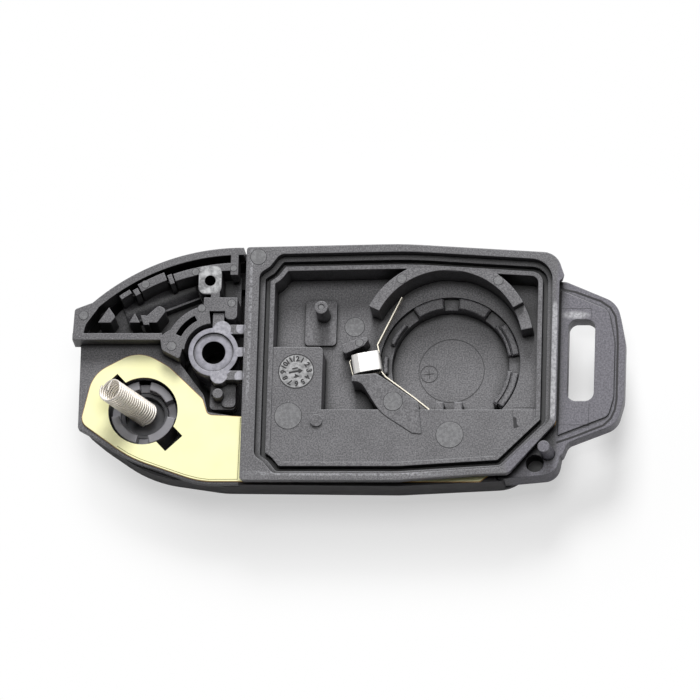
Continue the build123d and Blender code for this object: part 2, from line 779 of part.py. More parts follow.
# Release button: a cup that slides in the collar
with BuildPart() as release_button:
    with BuildSketch(Plane.XY.offset(cover_floor + rest_gap)):
        with Locations((pivot_x, pivot_y)):
            Circle(button_radius)
    extrude(amount=button_height)
    with BuildSketch(Plane.XY.offset(cover_floor + rest_gap + button_floor)):
        with Locations((pivot_x, pivot_y)):
            Circle(button_radius - button_wall)
    extrude(amount=button_height - button_floor, mode=Mode.SUBTRACT)
release_button.part.label = "release_button"

# Flip spring: close-wound, standing loose in the cup and leaning out of it
spring_axis = Vector(spring_lean_x, spring_lean_y, spring_lean_z).normalized()
spring_tilt = hypot(spring_axis.X, spring_axis.Y)
spring_foot = Vector(
    pivot_x + 0.35,
    pivot_y + 0.1,
    cover_floor + 2 * rest_gap + button_floor + spring_radius * spring_tilt,
)
spring_plane = Plane(origin=spring_foot, x_dir=(0, 0, 1), z_dir=spring_axis)
with BuildPart() as flip_spring:
    with BuildSketch(spring_plane):
        Circle(spring_radius)
        Circle(spring_radius - spring_wire, mode=Mode.SUBTRACT)
    extrude(amount=spring_length)
flip_spring.part.label = "flip_spring"

# Battery contact: folded clip over its post, with two sprung arms along the cell's edge
leg_x = (contact_length - contact_thickness) / 2
leg_end = contact_width / 2
turned = Location((contact_x, contact_y, 0), contact_turn)
north_end = (turned * Location((leg_x, leg_end, 0))).position
south_end = (turned * Location((leg_x, -leg_end, 0))).position
with BuildPart() as battery_contact:
    with BuildSketch(Plane.XY.offset(floor_z + contact_height)):
        with Locations(turned):
            Rectangle(contact_length, contact_width)
    extrude(amount=-contact_thickness)
    with BuildSketch(Plane.XY.offset(floor_z + contact_height)):
        with Locations(turned):
            with Locations((-leg_x, 0), (leg_x, 0)):
                Rectangle(contact_thickness, contact_width)
    extrude(amount=-contact_height + rest_gap)
    with BuildSketch(Plane.XY.offset(floor_z + arm_level)):
        with BuildLine():
            north_bend = (north_end.X - 0.3, north_end.Y + 1.2)
            Polyline((north_end.X, north_end.Y - contact_slip), north_bend, arm_north_tip)
        trace(line_width=contact_thickness)
        with BuildLine():
            south_bend = (south_end.X + 0.5, south_end.Y - 0.6)
            south_root = (south_end.X, south_end.Y + contact_slip)
            Polyline(south_root, south_bend, arm_south_bend, arm_south_tip)
        trace(line_width=contact_thickness)
    extrude(amount=arm_height)
battery_contact.part.label = "battery_contact"

os.makedirs("parts", exist_ok=True)
for piece in (
    battery_tray,
    key_bay_frame,
    back_cover,
    adhesive_gasket,
    release_liner,
    flip_collar,
    release_button,
    flip_spring,
    battery_contact,
):
    export_step(piece.part, "parts/" + piece.part.label + ".step")
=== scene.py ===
import bmesh
import bpy
from math import cos, pi, radians, sin
from mathutils import Matrix, Vector


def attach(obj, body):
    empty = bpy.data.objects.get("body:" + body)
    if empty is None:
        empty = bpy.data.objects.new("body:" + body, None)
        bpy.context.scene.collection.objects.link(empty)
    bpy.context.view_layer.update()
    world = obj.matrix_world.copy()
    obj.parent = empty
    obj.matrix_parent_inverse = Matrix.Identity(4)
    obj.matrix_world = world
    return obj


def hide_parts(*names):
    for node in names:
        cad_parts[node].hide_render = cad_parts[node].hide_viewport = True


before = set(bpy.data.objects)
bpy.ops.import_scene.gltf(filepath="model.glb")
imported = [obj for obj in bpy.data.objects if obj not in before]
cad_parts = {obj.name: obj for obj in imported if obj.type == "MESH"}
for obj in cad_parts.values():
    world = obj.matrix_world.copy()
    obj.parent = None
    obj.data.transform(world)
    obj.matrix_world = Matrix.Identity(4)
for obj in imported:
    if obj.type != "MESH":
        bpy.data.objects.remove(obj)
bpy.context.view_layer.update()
scene = bpy.context.scene
mm = 0.001
print("stage: frame loaded")


def tone(red, green, blue):
    # a colour as a screen shows it (0 to 255), as the shader wants it
    def straight(value):
        value = value / 255
        return value / 12.92 if value < 0.04045 else ((value + 0.055) / 1.055) ** 2.4
    return (straight(red), straight(green), straight(blue), 1.0)


class Wire:
    # a value in a node tree: arithmetic on it adds Math nodes

    def __init__(self, board, socket):
        self.board = board
        self.socket = socket

    def __add__(self, other):
        return self.board.maths("ADD", self, other)

    def __sub__(self, other):
        return self.board.maths("SUBTRACT", self, other)

    def __mul__(self, other):
        return self.board.maths("MULTIPLY", self, other)

    def __truediv__(self, other):
        return self.board.maths("DIVIDE", self, other)

    def __radd__(self, other):
        return self.board.maths("ADD", other, self)

    def __rsub__(self, other):
        return self.board.maths("SUBTRACT", other, self)

    def __rmul__(self, other):
        return self.board.maths("MULTIPLY", other, self)

    def __pow__(self, other):
        return self.board.maths("POWER", self, other)

    def __abs__(self):
        return self.board.maths("ABSOLUTE", self)


class Board:
    # a node tree that is being filled

    def __init__(self, tree):
        self.tree = tree

    def slotOf(self, sockets, key):
        if isinstance(key, int):
            return sockets[key]
        for socket in sockets:
            if key in (socket.identifier, socket.name):
                return socket
        raise KeyError(key)

    def node(self, kind, settings=None, values=None):
        made = self.tree.nodes.new(kind)
        for name, value in (settings or {}).items():
            setattr(made, name, value)
        for key, value in (values or {}).items():
            slot = self.slotOf(made.inputs, key)
            if isinstance(value, Wire):
                self.tree.links.new(value.socket, slot)
            else:
                slot.default_value = value
        return made

    def wire(self, made, key=0):
        return Wire(self, self.slotOf(made.outputs, key))

    def maths(self, operation, first, second=None):
        values = {i: value for i, value in enumerate((first, second)) if value is not None}
        return self.wire(self.node("ShaderNodeMath", {"operation": operation}, values))


class Finish(Board):
    # one material, its shader, and the nodes that feed the shader

    def __init__(self, name, **fixed):
        self.material = bpy.data.materials.new(name)
        self.material.use_nodes = True
        super().__init__(self.material.node_tree)
        self.tree.nodes.clear()
        self.shader = self.node("ShaderNodeBsdfPrincipled")
        self.end = self.node("ShaderNodeOutputMaterial", None, {"Surface": self.wire(self.shader)})
        for key, value in fixed.items():
            self.slotOf(self.shader.inputs, key.replace("_", " ")).default_value = value
        self.point = self.wire(self.node("ShaderNodeTexCoord"), "Object")
        self.axes = self.node("ShaderNodeSeparateXYZ", None, {0: self.point})

    def feed(self, key, value):
        self.tree.links.new(value.socket, self.slotOf(self.shader.inputs, key))

    def along(self, axis):
        # a coordinate of the point in millimetres
        return self.wire(self.axes, axis) * 1000.0

    def noise(self, size, detail=2.0, roughness=0.5, stretch=None):
        # a noise whose patches are about size millimetres across
        point = self.point
        if stretch:
            point = self.wire(self.node("ShaderNodeMapping", None, {"Vector": point, "Scale": stretch}))
        values = {"Vector": point, "Scale": 1000.0 / size, "Detail": detail, "Roughness": roughness}
        return self.wire(self.node("ShaderNodeTexNoise", None, values), "Fac")

    def span(self, value, low, high, start=0.0, end=1.0):
        # value from low to high becomes start to end
        values = {"Value": value, "From Min": low, "From Max": high, "To Min": start, "To Max": end}
        return self.wire(self.node("ShaderNodeMapRange", {"interpolation_type": "SMOOTHSTEP"}, values))

    def mix(self, factor, first, second):
        values = {"Factor_Float": factor, "A_Color": first, "B_Color": second}
        return self.wire(self.node("ShaderNodeMix", {"data_type": "RGBA"}, values), "Result_Color")

    def rounded(self, radius):
        # a normal that rounds the edges of a solid by radius millimetres
        return self.wire(self.node("ShaderNodeBevel", {"samples": 6}, {"Radius": radius * mm}), "Normal")

    def onEdge(self, soft):
        # near 1 where the rounded normal leaves the face's own
        plainNormal = self.wire(self.node("ShaderNodeNewGeometry"), "Normal")
        dot = self.node("ShaderNodeVectorMath", {"operation": "DOT_PRODUCT"}, {0: soft, 1: plainNormal})
        return self.span(self.wire(dot, "Value"), 0.98, 0.8)

    def exposed(self, reach):
        # 1 on open faces, lower in corners that are about reach millimetres wide
        settings = {"samples": 8, "only_local": True}
        return self.wire(self.node("ShaderNodeAmbientOcclusion", settings, {"Distance": reach * mm}), "AO")

    def bump(self, height, strength, distance, under=None):
        values = {"Height": height, "Strength": strength, "Distance": distance * mm}
        if under is not None:
            values["Normal"] = under
        return self.wire(self.node("ShaderNodeBump", None, values), "Normal")


view = {
    "toCamera": (0.1005, -0.2905, 0.9516),
    "picture": 700.0,  # pixels each way
    "pivot": (0.0, 0.0, 11.0),  # this point of the object, in millimetres,
    "pivotAt": (445.2, 339.65),  # shows at this pixel
    "pixelsPerMm": 7.5,
    "lens": 600.0,
    "sensor": 36.0,
    "clip": (0.01, 10.0),
}

back = Vector(view["toCamera"]).normalized()
upward = back.cross(Vector((1, 0, 0))).normalized()
sideways = upward.cross(back)
shownWidth = view["picture"] / view["pixelsPerMm"]
shiftX = (view["pivotAt"][0] - view["picture"] / 2) / view["pixelsPerMm"]
shiftY = (view["picture"] / 2 - view["pivotAt"][1]) / view["pixelsPerMm"]
aim = Vector(view["pivot"]) - sideways * shiftX - upward * shiftY
cameraData = bpy.data.cameras.new("camera")
cameraData.lens = view["lens"]
cameraData.sensor_width = view["sensor"]
cameraData.clip_start, cameraData.clip_end = view["clip"]
camera = bpy.data.objects.new("camera", cameraData)
camera.location = (aim + back * (shownWidth * view["lens"] / view["sensor"])) * mm
camera.rotation_mode = "QUATERNION"
camera.rotation_quaternion = Matrix((sideways, upward, back)).transposed().to_quaternion()
scene.collection.objects.link(camera)
scene.camera = camera
print("stage: camera")


studio = {
    "lampAim": (-13.0, -3.0, 5.0),
    "worldStrength": 0.05,
    "softboxes": [  # name, place in millimetres, size, watts
        ("keyLight", (0.0, 440.0, 380.0), 240.0, 3.6),
        ("topLight", (30.0, 60.0, 580.0), 260.0, 1.4),
    ],
    "floorSize": 2400.0,
    "floorLevel": -0.03,
    "floorColour": (0.9, 0.9, 0.9, 1.0),
    "floorGlow": 0.55,
    "lineMiddle": -7.0,  # the object's line runs along X: its middle, half its length and its Y
    "lineHalf": 18.0,
    "lineLevel": -3.0,
    "nearEdge": 17.0,  # the floor's own shade holds to here from that line
    "farEdge": 34.0,
}

scene.view_settings.view_transform = "Standard"
world = bpy.data.worlds.new("studio")
world.use_nodes = True
sky = Board(world.node_tree)
sky.tree.nodes.clear()
rays = sky.node("ShaderNodeLightPath")
direct = sky.maths("MAXIMUM", sky.wire(rays, "Is Camera Ray"), sky.wire(rays, "Is Transmission Ray"))
strength = direct * (1.0 - studio["worldStrength"]) + studio["worldStrength"]
backdrop = sky.node("ShaderNodeBackground", None, {"Color": (1, 1, 1, 1), "Strength": strength})
sky.node("ShaderNodeOutputWorld", None, {"Surface": sky.wire(backdrop)})
scene.world = world

target = Vector(studio["lampAim"])
for name, place, size, watts in studio["softboxes"]:
    lamp = bpy.data.lights.new(name, "AREA")
    lamp.shape = "DISK"
    lamp.size = size * mm
    lamp.energy = watts
    holder = bpy.data.objects.new(name, lamp)
    holder.location = Vector(place) * mm
    holder.rotation_mode = "QUATERNION"
    holder.rotation_quaternion = (Vector(place) - target).to_track_quat("Z", "Y")
    scene.collection.objects.link(holder)

reach = studio["floorSize"] / 2 * mm
ground = studio["floorLevel"] * mm
floorMesh = bpy.data.meshes.new("floor")
corners = [(-reach, -reach, ground), (reach, -reach, ground), (reach, reach, ground), (-reach, reach, ground)]
floorMesh.from_pydata(corners, [], [(0, 1, 2, 3)])
floor = bpy.data.objects.new("floor", floorMesh)
scene.collection.objects.link(floor)
paper = Finish("floorPaper", Roughness=0.9, Base_Color=studio["floorColour"])
offX = paper.maths("MAXIMUM", abs(paper.along("X") - studio["lineMiddle"]) - studio["lineHalf"], 0.0)
offY = paper.along("Y") - studio["lineLevel"]
away = (offX * offX + offY * offY) ** 0.5
glow = paper.node("ShaderNodeEmission", None, {"Color": (1, 1, 1, 1), "Strength": 1.0})
seen = paper.wire(paper.node("ShaderNodeLightPath"), "Is Camera Ray")
fade = paper.span(away, studio["nearEdge"], studio["farEdge"], studio["floorGlow"], 1.0) * seen
blend = paper.node("ShaderNodeMixShader", None, {0: fade, 1: paper.wire(paper.shader), 2: paper.wire(glow)})
# seen from below, the floor is clear
under = paper.wire(paper.node("ShaderNodeNewGeometry"), "Backfacing")
clear = paper.wire(paper.node("ShaderNodeBsdfTransparent"))
top = paper.node("ShaderNodeMixShader", None, {0: under, 1: paper.wire(blend), 2: clear})
paper.tree.links.new(top.outputs[0], paper.end.inputs["Surface"])
floorMesh.materials.append(paper.material)
print("stage: light and floor")


def shades(dark, light, cloud, roughness, **more):
    # moulded plastic: two shades, the size of its cloud in millimetres, and its roughness
    return {"dark": tone(*dark), "light": tone(*light), "cloud": cloud, "roughness": roughness, **more}


# reach: how wide the corners are that get painted shade, in millimetres
plain = shades((74, 73, 76), (112, 111, 114), 0.2, 0.46, reach=2.6)
bayGrey = shades((72, 71, 74), (106, 105, 108), 0.2, 0.46, reach=3.0)
pinGrey = shades((98, 98, 100), (118, 118, 120), 0.35, 0.46, reach=2.6)
wheelGrey = shades((118, 118, 119), (168, 168, 169), 0.6, 0.46, reach=2.6)
mauve = shades((78, 76, 84), (108, 106, 115), 0.26, 0.42)
bossGrey = shades((128, 127, 136), (154, 153, 163), 0.9, 0.38)
lobeGrey = shades((138, 137, 145), (170, 169, 177), 0.5, 0.36)
chalky = shades((104, 104, 106), (184, 185, 186), 0.8, 0.4)
polished = shades((126, 125, 129), (170, 170, 174), 0.4, 0.3)
worn = shades((84, 83, 86), (146, 146, 150), 0.32, 0.4)
# painted shade: near black for the insides of holes
holeShade = shades((14, 14, 15), (20, 20, 21), 0.5, 0.7)
sparkGrainAndPaintedLight = {
    "grain": (0.15, 2.0, 0.7),  # size in millimetres, detail and roughness of each noise
    "mottle": (3.2, 3.0, 0.55),
    "mottleShare": 0.2,
    "cloudSpan": (0.48, 0.74),
    "patchSpan": (0.35, 0.65),
    "grainSpan": (0.62, 0.73),
    "grainShare": 0.55,
    "grainColour": tone(180, 180, 184),
    "roughShare": 0.25,
    # painted highlight: along rounded edges the colour is lightened this far towards the edge colour
    "edgeHighlightShare": 0.6,
    "edgeHighlightColour": tone(160, 160, 164),
    # painted shade: corners and narrow gaps are darkened towards the corner colour, by ambient occlusion over
    # two reaches
    "cornerShadeSpan": (0.25, 0.9),
    "closeShadeReach": 0.8,
    "closeShadeSpan": (0.4, 0.97),
    "cornerShadeColour": tone(16, 16, 18),
    "bumpStrength": 0.3,
    "bumpHeight": 0.03,
}


def mouldedPlastic(name, recipe, edge, patches=()):
    # spark-eroded plastic: fine light grains, a slow mottle and a fine bump, with a painted highlight along
    # rounded edges and painted shade in corners and narrow gaps.
    # patches: (recipe, x, y, half length, half width, power, soft edge), other finishes of the moulding, and
    # painted shade inside holes
    grainAndLight = sparkGrainAndPaintedLight
    finish = Finish(name, Specular_IOR_Level=0.42)
    grain = finish.noise(*grainAndLight["grain"])
    mottle = finish.noise(*grainAndLight["mottle"])
    cloud = finish.noise(recipe["cloud"], 3.0, 0.6) + mottle * grainAndLight["mottleShare"]
    colour = finish.mix(finish.span(cloud, *grainAndLight["cloudSpan"]), recipe["dark"], recipe["light"])
    rough = recipe["roughness"] + (grain - 0.5) * grainAndLight["roughShare"]
    for patch, x, y, halfLength, halfWidth, power, soft in patches:
        offX = abs(finish.along("X") - x) * (1.0 / halfLength)
        offY = abs(finish.along("Y") - y) * (1.0 / halfWidth)
        near = (offX ** power + offY ** power) ** (1.0 / power)
        inside = finish.span(near, 1.0 - soft, 1.0 + soft, 1.0, 0.0)
        cloud = finish.noise(patch["cloud"], 4.0, 0.6)
        patchColour = finish.mix(finish.span(cloud, *grainAndLight["patchSpan"]), patch["dark"], patch["light"])
        colour = finish.mix(inside, colour, patchColour)
        rough = rough + inside * (patch["roughness"] - recipe["roughness"])
    rounded = finish.rounded(edge)
    grains = finish.span(grain, *grainAndLight["grainSpan"], 0.0, grainAndLight["grainShare"])
    colour = finish.mix(grains, colour, grainAndLight["grainColour"])
    # painted highlight: a lighter colour along rounded edges
    colour = finish.mix(finish.onEdge(rounded) * grainAndLight["edgeHighlightShare"], colour, grainAndLight["edgeHighlightColour"])
    # painted shade: ambient occlusion darkens corners and narrow gaps
    wide = finish.span(finish.exposed(recipe["reach"]), *grainAndLight["cornerShadeSpan"])
    closeCornerShade = finish.span(finish.exposed(grainAndLight["closeShadeReach"]), *grainAndLight["closeShadeSpan"])
    finish.feed("Base Color", finish.mix(wide * closeCornerShade, grainAndLight["cornerShadeColour"], colour))
    finish.feed("Roughness", rough)
    finish.feed("Normal", finish.bump(grain, grainAndLight["bumpStrength"], grainAndLight["bumpHeight"], rounded))
    return finish.material


trayPlastic = mouldedPlastic("trayPlastic", plain, 0.2, [
    (mauve, 24.0, -2.0, 9.2, 16.0, 8.0, 0.04),
    (mauve, 12.6, -17.0, 4.2, 3.2, 2.0, 0.12),
    (polished, 14.6, -2.9, 0.32, 8.0, 8.0, 0.06),
    (polished, 17.2, 4.1, 1.6, 0.5, 2.0, 0.5),
    (worn, -26.3, 2.0, 0.2, 10.5, 6.0, 0.3),
    (worn, -13.0, -18.6, 12.0, 0.3, 6.0, 0.3),
    (bossGrey, -31.1, -1.6, 3.6, 3.6, 2.0, 0.02),
    (lobeGrey, -30.0, 1.6, 1.15, 1.15, 2.0, 0.04),
    (lobeGrey, -30.3, -4.9, 1.15, 1.15, 2.0, 0.04),
    (lobeGrey, -27.5, 1.75, 0.65, 0.75, 2.0, 0.06),
    (lobeGrey, -27.5, -1.5, 0.65, 0.75, 2.0, 0.06),
    (lobeGrey, -27.5, -5.0, 0.65, 0.75, 2.0, 0.06),
    # painted shade inside the boss's hole
    (holeShade, -31.1, -1.6, 1.6, 1.6, 2.0, 0.01),
])
bayPlastic = mouldedPlastic("bayPlastic", bayGrey, 0.16, [
    (chalky, -31.85, 8.4, 1.55, 1.9, 4.0, 0.06),
    # painted shade inside the hole
    (holeShade, -31.8, 8.25, 0.76, 0.76, 2.0, 0.02),
])


def clouded(name, dark, light, cloud, rough, bump=None, edge=None, **fixed):
    # two shades mixed by a noise. cloud: its size, detail, roughness and stretch.
    # rough: the roughness at the noise's 0 and 1. bump: the size of another noise, or None for the
    # same one, its strength and height. edge: the radius that corners look rounded by.
    finish = Finish(name, **fixed)
    shade = finish.noise(*cloud)
    finish.feed("Base Color", finish.mix(shade, dark, light))
    finish.feed("Roughness", rough[0] + shade * (rough[1] - rough[0]))
    if bump:
        size, strength, height = bump
        bumps = finish.noise(size) if size else shade
        under = finish.rounded(edge) if edge else None
        finish.feed("Normal", finish.bump(bumps, strength, height, under))
    return finish.material


def smoothPlastic(name, colour, roughness, edge):
    deep = tuple(0.75 * part for part in colour[:3]) + (1.0,)
    rough = (roughness - 0.075, roughness + 0.075)
    cloud = (1.6, 4.0, 0.6)
    return clouded(name, deep, colour, cloud, rough, (0.35, 0.12, 0.02), edge, Specular_IOR_Level=0.4)


coverPlastic = smoothPlastic("coverPlastic", tone(44, 42, 45), 0.5, 0.2)
collarPlastic = smoothPlastic("collarPlastic", tone(132, 131, 136), 0.34, 0.25)
buttonPlastic = smoothPlastic("buttonPlastic", tone(70, 70, 74), 0.36, 0.2)
darkLine = smoothPlastic("darkLine", tone(40, 39, 42), 0.6, 0.02)
pinFace = mouldedPlastic("pinFace", pinGrey, 0.02)
wheelFace = mouldedPlastic("wheelFace", wheelGrey, 0.02)
wheelPrint = smoothPlastic("wheelPrint", tone(20, 19, 22), 0.5, 0.01)
# painted shade along the film's edge
seamLine = smoothPlastic("seamLine", tone(148, 142, 84), 0.5, 0.01)
faintLine = smoothPlastic("faintLine", tone(62, 61, 64), 0.5, 0.01)


film = {"cloud": (5.0, 3.0, 0.5), "rough": (0.38, 0.5), "bump": (4.0, 0.15, 0.2), "Specular_IOR_Level": 0.3}
glue = {"cloud": (1.2, 3.0, 0.6), "rough": (0.3, 0.5), "Specular_IOR_Level": 0.5}
steel = {"cloud": (0.3, 3.0, 0.6), "rough": (0.3, 0.46), "Metallic": 0.35}
nickel = {
    "cloud": (0.25, 3.0, 0.6, (1.0, 6.0, 1.0)),
    "rough": (0.26, 0.46),
    "bump": (None, 0.1, 0.01),
    "Metallic": 0.25,
}
linerLook = clouded("linerFilm", tone(246, 243, 182), tone(254, 252, 206), **film)
amberLook = clouded("amberGlue", tone(150, 104, 44), tone(214, 172, 96), **glue)
wireLook = clouded("drawnWire", tone(222, 214, 204), tone(255, 250, 243), **steel)
clipLook = clouded("clipNickel", tone(236, 232, 228), tone(255, 254, 252), **nickel)
armLook = clouded("armNickel", tone(206, 198, 180), tone(240, 234, 218), **nickel)
print("stage: finishes")


def settle(piece, body, look, slotName, *nodes):
    # gives a finished piece its body, its finish and the solids that it stands for
    if look is not None:
        piece.data.materials.clear()
        piece.data.materials.append(look)
    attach(piece, body)
    if nodes:
        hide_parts(*nodes)


def newPiece(name, work, smooth=30.0):
    # an object from a bmesh in metres, smooth across edges flatter than the given angle
    mesh = bpy.data.meshes.new(name)
    bmesh.ops.recalc_face_normals(work, faces=work.faces)
    work.normal_update()
    for edge in work.edges:
        edge.smooth = edge.calc_face_angle(0.0) < radians(smooth)
    for face in work.faces:
        face.smooth = True
    work.to_mesh(mesh)
    work.free()
    piece = bpy.data.objects.new(name, mesh)
    scene.collection.objects.link(piece)
    return piece


def closedCopy(node, name, smooth):
    # a copy of a solid with its doubled corners merged
    work = bmesh.new()
    work.from_mesh(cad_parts[node].data)
    bmesh.ops.remove_doubles(work, verts=work.verts, dist=0.0005 * mm)
    piece = newPiece(name, work, smooth)
    loaded = piece.data.attributes.get("custom_normal")
    if loaded:
        piece.data.attributes.remove(loaded)
    return piece


mouldings = {  # copy: solid, body, finish, material slot, the angle up to which it looks round
    "trayHousing": ("battery_tray", "body", trayPlastic, "tray_plastic", 28.0),
    "bayHousing": ("key_bay_frame", "body", bayPlastic, "bay_plastic", 28.0),
    "coverDish": ("back_cover", "body", coverPlastic, "cover_plastic", 52.0),
    "collarRing": ("flip_collar", "flip_collar", collarPlastic, "collar_plastic", 28.0),
    "buttonCup": ("release_button", "release_button", buttonPlastic, "button_plastic", 28.0),
}
for name, (node, body, look, slotName, smooth) in mouldings.items():
    settle(closedCopy(node, name, smooth), body, look, slotName, node)
for node, look in {"adhesive_gasket": amberLook, "release_liner": linerLook}.items():
    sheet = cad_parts[node].data
    sheet.materials.clear()
    sheet.materials.append(look)
print("stage: mouldings")


def stripPrism(work, path, width, low, high, closed=False):
    # adds a strip of the given width along a path, between two heights; all in millimetres
    points = [Vector((x, y, 0.0)) for x, y in path]
    count = len(points)
    left = []
    right = []
    for i, point in enumerate(points):
        before = point - points[i - 1] if i or closed else points[1] - point
        after = points[(i + 1) % count] - point if i < count - 1 or closed else before
        across = (before.normalized() + after.normalized()).normalized()
        side = Vector((-across.y, across.x, 0.0)) * (width / 2 / max(across.dot(after.normalized()), 0.5))
        left.append(point + side)
        right.append(point - side)
    rows = []
    for line in (left, right):
        for level in (low, high):
            rows.append([work.verts.new((p.x * mm, p.y * mm, level * mm)) for p in line])
    leftLow, leftHigh, rightLow, rightHigh = rows
    sides = ((leftLow, rightLow), (rightLow, rightHigh), (rightHigh, leftHigh), (leftHigh, leftLow))
    for i in range(count if closed else count - 1):
        j = (i + 1) % count
        for first, second in sides:
            work.faces.new((first[i], second[i], second[j], first[j]))
    if not closed:
        for i in (0, count - 1):
            work.faces.new((leftLow[i], leftHigh[i], rightHigh[i], rightLow[i]))


def roundPath(x, y, radius, count=64):
    angles = [2 * pi * i / count for i in range(count)]
    return [(x + radius * cos(angle), y + radius * sin(angle)) for angle in angles]


def platePrism(work, corners, low, high):
    # adds a flat plate through the corners, between two heights; all in millimetres
    bottom = [work.verts.new((x * mm, y * mm, low * mm)) for x, y in corners]
    top = [work.verts.new((x * mm, y * mm, high * mm)) for x, y in corners]
    work.faces.new(bottom[::-1])
    work.faces.new(top)
    for i in range(len(corners)):
        j = (i + 1) % len(corners)
        work.faces.new((bottom[i], bottom[j], top[j], top[i]))


def geometryTree(name, inputs):
    # a Geometry Nodes tree with named inputs: (name, kind, value)
    tree = bpy.data.node_groups.new(name, "GeometryNodeTree")
    tree.interface.new_socket("Geometry", in_out="INPUT", socket_type="NodeSocketGeometry")
    for label, kind, value in inputs:
        made = tree.interface.new_socket(label, in_out="INPUT", socket_type=kind)
        if value is not None:
            made.default_value = value
    tree.interface.new_socket("Geometry", in_out="OUTPUT", socket_type="NodeSocketGeometry")
    board = Board(tree)
    return board, board.node("NodeGroupInput")


def growPiece(name, board, result, mesh, values):
    # runs a tree on a mesh and keeps what it makes as a plain mesh
    board.node("NodeGroupOutput", None, {0: result})
    carrier = bpy.data.objects.new(name + "Carrier", mesh)
    scene.collection.objects.link(carrier)
    grower = carrier.modifiers.new("grow", "NODES")
    grower.node_group = board.tree
    for item in board.tree.interface.items_tree:
        if item.in_out == "INPUT" and item.name in values:
            grower[item.identifier] = values[item.name]
    bpy.context.view_layer.update()
    made = bpy.data.meshes.new_from_object(carrier.evaluated_get(bpy.context.evaluated_depsgraph_get()))
    carrier.modifiers.remove(grower)
    bpy.data.objects.remove(carrier)
    made.name = name
    piece = bpy.data.objects.new(name, made)
    scene.collection.objects.link(piece)
    return piece


pinMarks = {
    "edge": 0.07,
    "lift": 0.014,
    "places": [  # x, y, height, radius
        (-20.9, -10.2, 9.6, 1.8), (0.8, -12.8, 9.6, 1.8), (-12.8, 3.6, 5.0, 1.3),
        (-25.4, 11.6, 11.0, 1.05), (-6.2, 8.9, 9.75, 0.6),
        (6.8, 8.65, 9.75, 0.6), (-6.9, -8.2, 9.7, 1.27), (-11.8, 0.5, 8.0, 0.5),
        (-48.7, 3.4, 11.0, 0.6), (-28.7, 10.0, 11.0, 0.42), (-40.5, 7.75, 11.0, 0.5),
        (-32.8, 4.4, 11.0, 0.5), (-36.7, -0.9, 11.0, 0.6), (-28.8, 5.1, 11.0, 0.5),
        (-33.8, 9.5, 11.0, 0.45), (-16.9, 4.9, 9.7, 0.36),
    ],
}


def pressedPins(sizes):
    # the round marks of ejector pins: a smooth face inside a thin dark line
    board, given = geometryTree("pressPins", [
        ("Edge", "NodeSocketFloat", 0.0001),
        ("Lift", "NodeSocketFloat", 0.00001),
        ("Face", "NodeSocketMaterial", None),
        ("Line", "NodeSocketMaterial", None),
    ])
    points = board.node("GeometryNodeMeshToPoints", None, {0: board.wire(given, "Geometry")})
    stored = board.node("GeometryNodeInputNamedAttribute", {"data_type": "FLOAT"}, {"Name": "reach"})
    disc = board.node("GeometryNodeMeshCylinder", None, {
        "Vertices": 48,
        "Radius": 1.0,
        "Depth": board.wire(given, "Lift") * 2.0,
    })
    joined = board.node("GeometryNodeJoinGeometry")
    for wide, rise, look in ((0.0, 1.0, "Face"), (1.0, 0.0, "Line")):
        radius = board.wire(stored) + board.wire(given, "Edge") * wide
        scale = board.node("ShaderNodeCombineXYZ", None, {"X": radius, "Y": radius, "Z": 1.0})
        lift = board.node("ShaderNodeCombineXYZ", None, {"Z": board.wire(given, "Lift") * rise})
        placed = board.node("GeometryNodeInstanceOnPoints", None, {
            "Points": board.wire(points),
            "Instance": board.wire(disc),
            "Scale": board.wire(scale),
        })
        moved = board.node("GeometryNodeTranslateInstances", None, {
            "Instances": board.wire(placed),
            "Translation": board.wire(lift),
        })
        whole = board.node("GeometryNodeRealizeInstances", None, {0: board.wire(moved)})
        looked = board.node("GeometryNodeSetMaterial", None, {
            "Geometry": board.wire(whole),
            "Material": board.wire(given, look),
        })
        board.tree.links.new(looked.outputs[0], joined.inputs[0])
    mesh = bpy.data.meshes.new("pinPlaces")
    mesh.from_pydata([Vector(place[:3]) * mm for place in sizes["places"]], [], [])
    reaches = mesh.attributes.new("reach", "FLOAT", "POINT")
    for item, place in zip(reaches.data, sizes["places"]):
        item.value = place[3] * mm
    return growPiece("pinMarks", board, board.wire(joined), mesh, {
        "Edge": sizes["edge"] * mm,
        "Lift": sizes["lift"] * mm,
        "Face": pinFace,
        "Line": darkLine,
    })


settle(pressedPins(pinMarks), "body", None, "tray_plastic")
print("stage: pin marks")


dateWheel = {
    "middle": (-20.0, -3.98),
    "level": 9.6,
    "radius": 2.3,
    "rimRadius": 2.35,
    "rimWidth": 0.12,
    "rimHeight": 0.05,
    "faceHeight": 0.02,
    "sunk": 0.02,
    "numberRing": 1.7,
    "numberSize": 0.98,
    "numberHeight": 0.035,
    "first": 63.0,  # the angle of the number 1
    "inner": [("1", -0.19, 0.4), ("4", 0.0, -0.67)],
    "innerTurn": -78.0,  # the two inner numbers lie along the arrow
    "arrow": [
        (-0.95, -0.34), (0.32, -0.1), (0.38, -0.36), (0.92, 0.12), (0.28, 0.42), (0.3, 0.17), (-0.98, -0.1),
    ],
}


def letters(work, text, size, x, y, turn, low, high):
    # adds a number as a flat raised mesh; sizes in millimetres, turn in degrees
    curve = bpy.data.curves.new("letters", "FONT")
    curve.body = text
    curve.size = size
    curve.align_x = "CENTER"
    curve.align_y = "CENTER"
    curve.offset = 0.045  # bolder strokes
    curve.extrude = (high - low) / 2
    curve.resolution_u = 4
    holder = bpy.data.objects.new("letters", curve)
    mesh = bpy.data.meshes.new_from_object(holder)
    mesh.transform(
        Matrix.Scale(mm, 4)
        @ Matrix.Translation((x, y, (low + high) / 2))
        @ Matrix.Rotation(radians(turn), 4, "Z")
    )
    work.from_mesh(mesh)
    bpy.data.objects.remove(holder)


